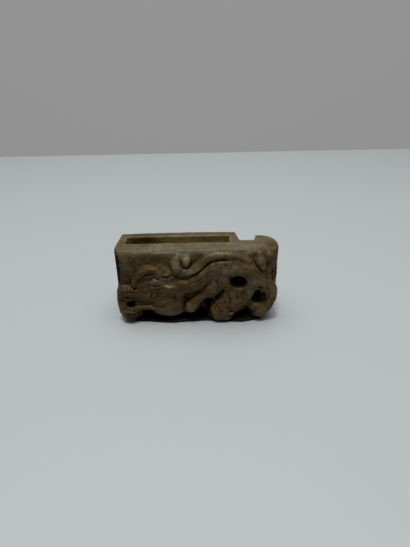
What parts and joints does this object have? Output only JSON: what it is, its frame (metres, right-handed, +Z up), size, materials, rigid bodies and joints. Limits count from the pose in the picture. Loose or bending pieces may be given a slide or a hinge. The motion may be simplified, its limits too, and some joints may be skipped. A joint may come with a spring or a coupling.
{
  "type": "carved belt buckle",
  "caption": "Carved jade belt buckle with a dragon in high relief, a belt slot behind the plate and a hooked end.",
  "frame": {"origin": "middle of the underside as it stands on its long side, at the centre of the whole piece's box", "axes": "+X along the plate towards the hook, +Y from the carved face to the loop behind it, +Z up"},
  "size_m": [0.0662, 0.024, 0.032],
  "materials": {
    "jade": "waxy polish"
  },
  "bodies": {
    "root": {"jade_buckle": "jade"}
  },
  "joints": []
}
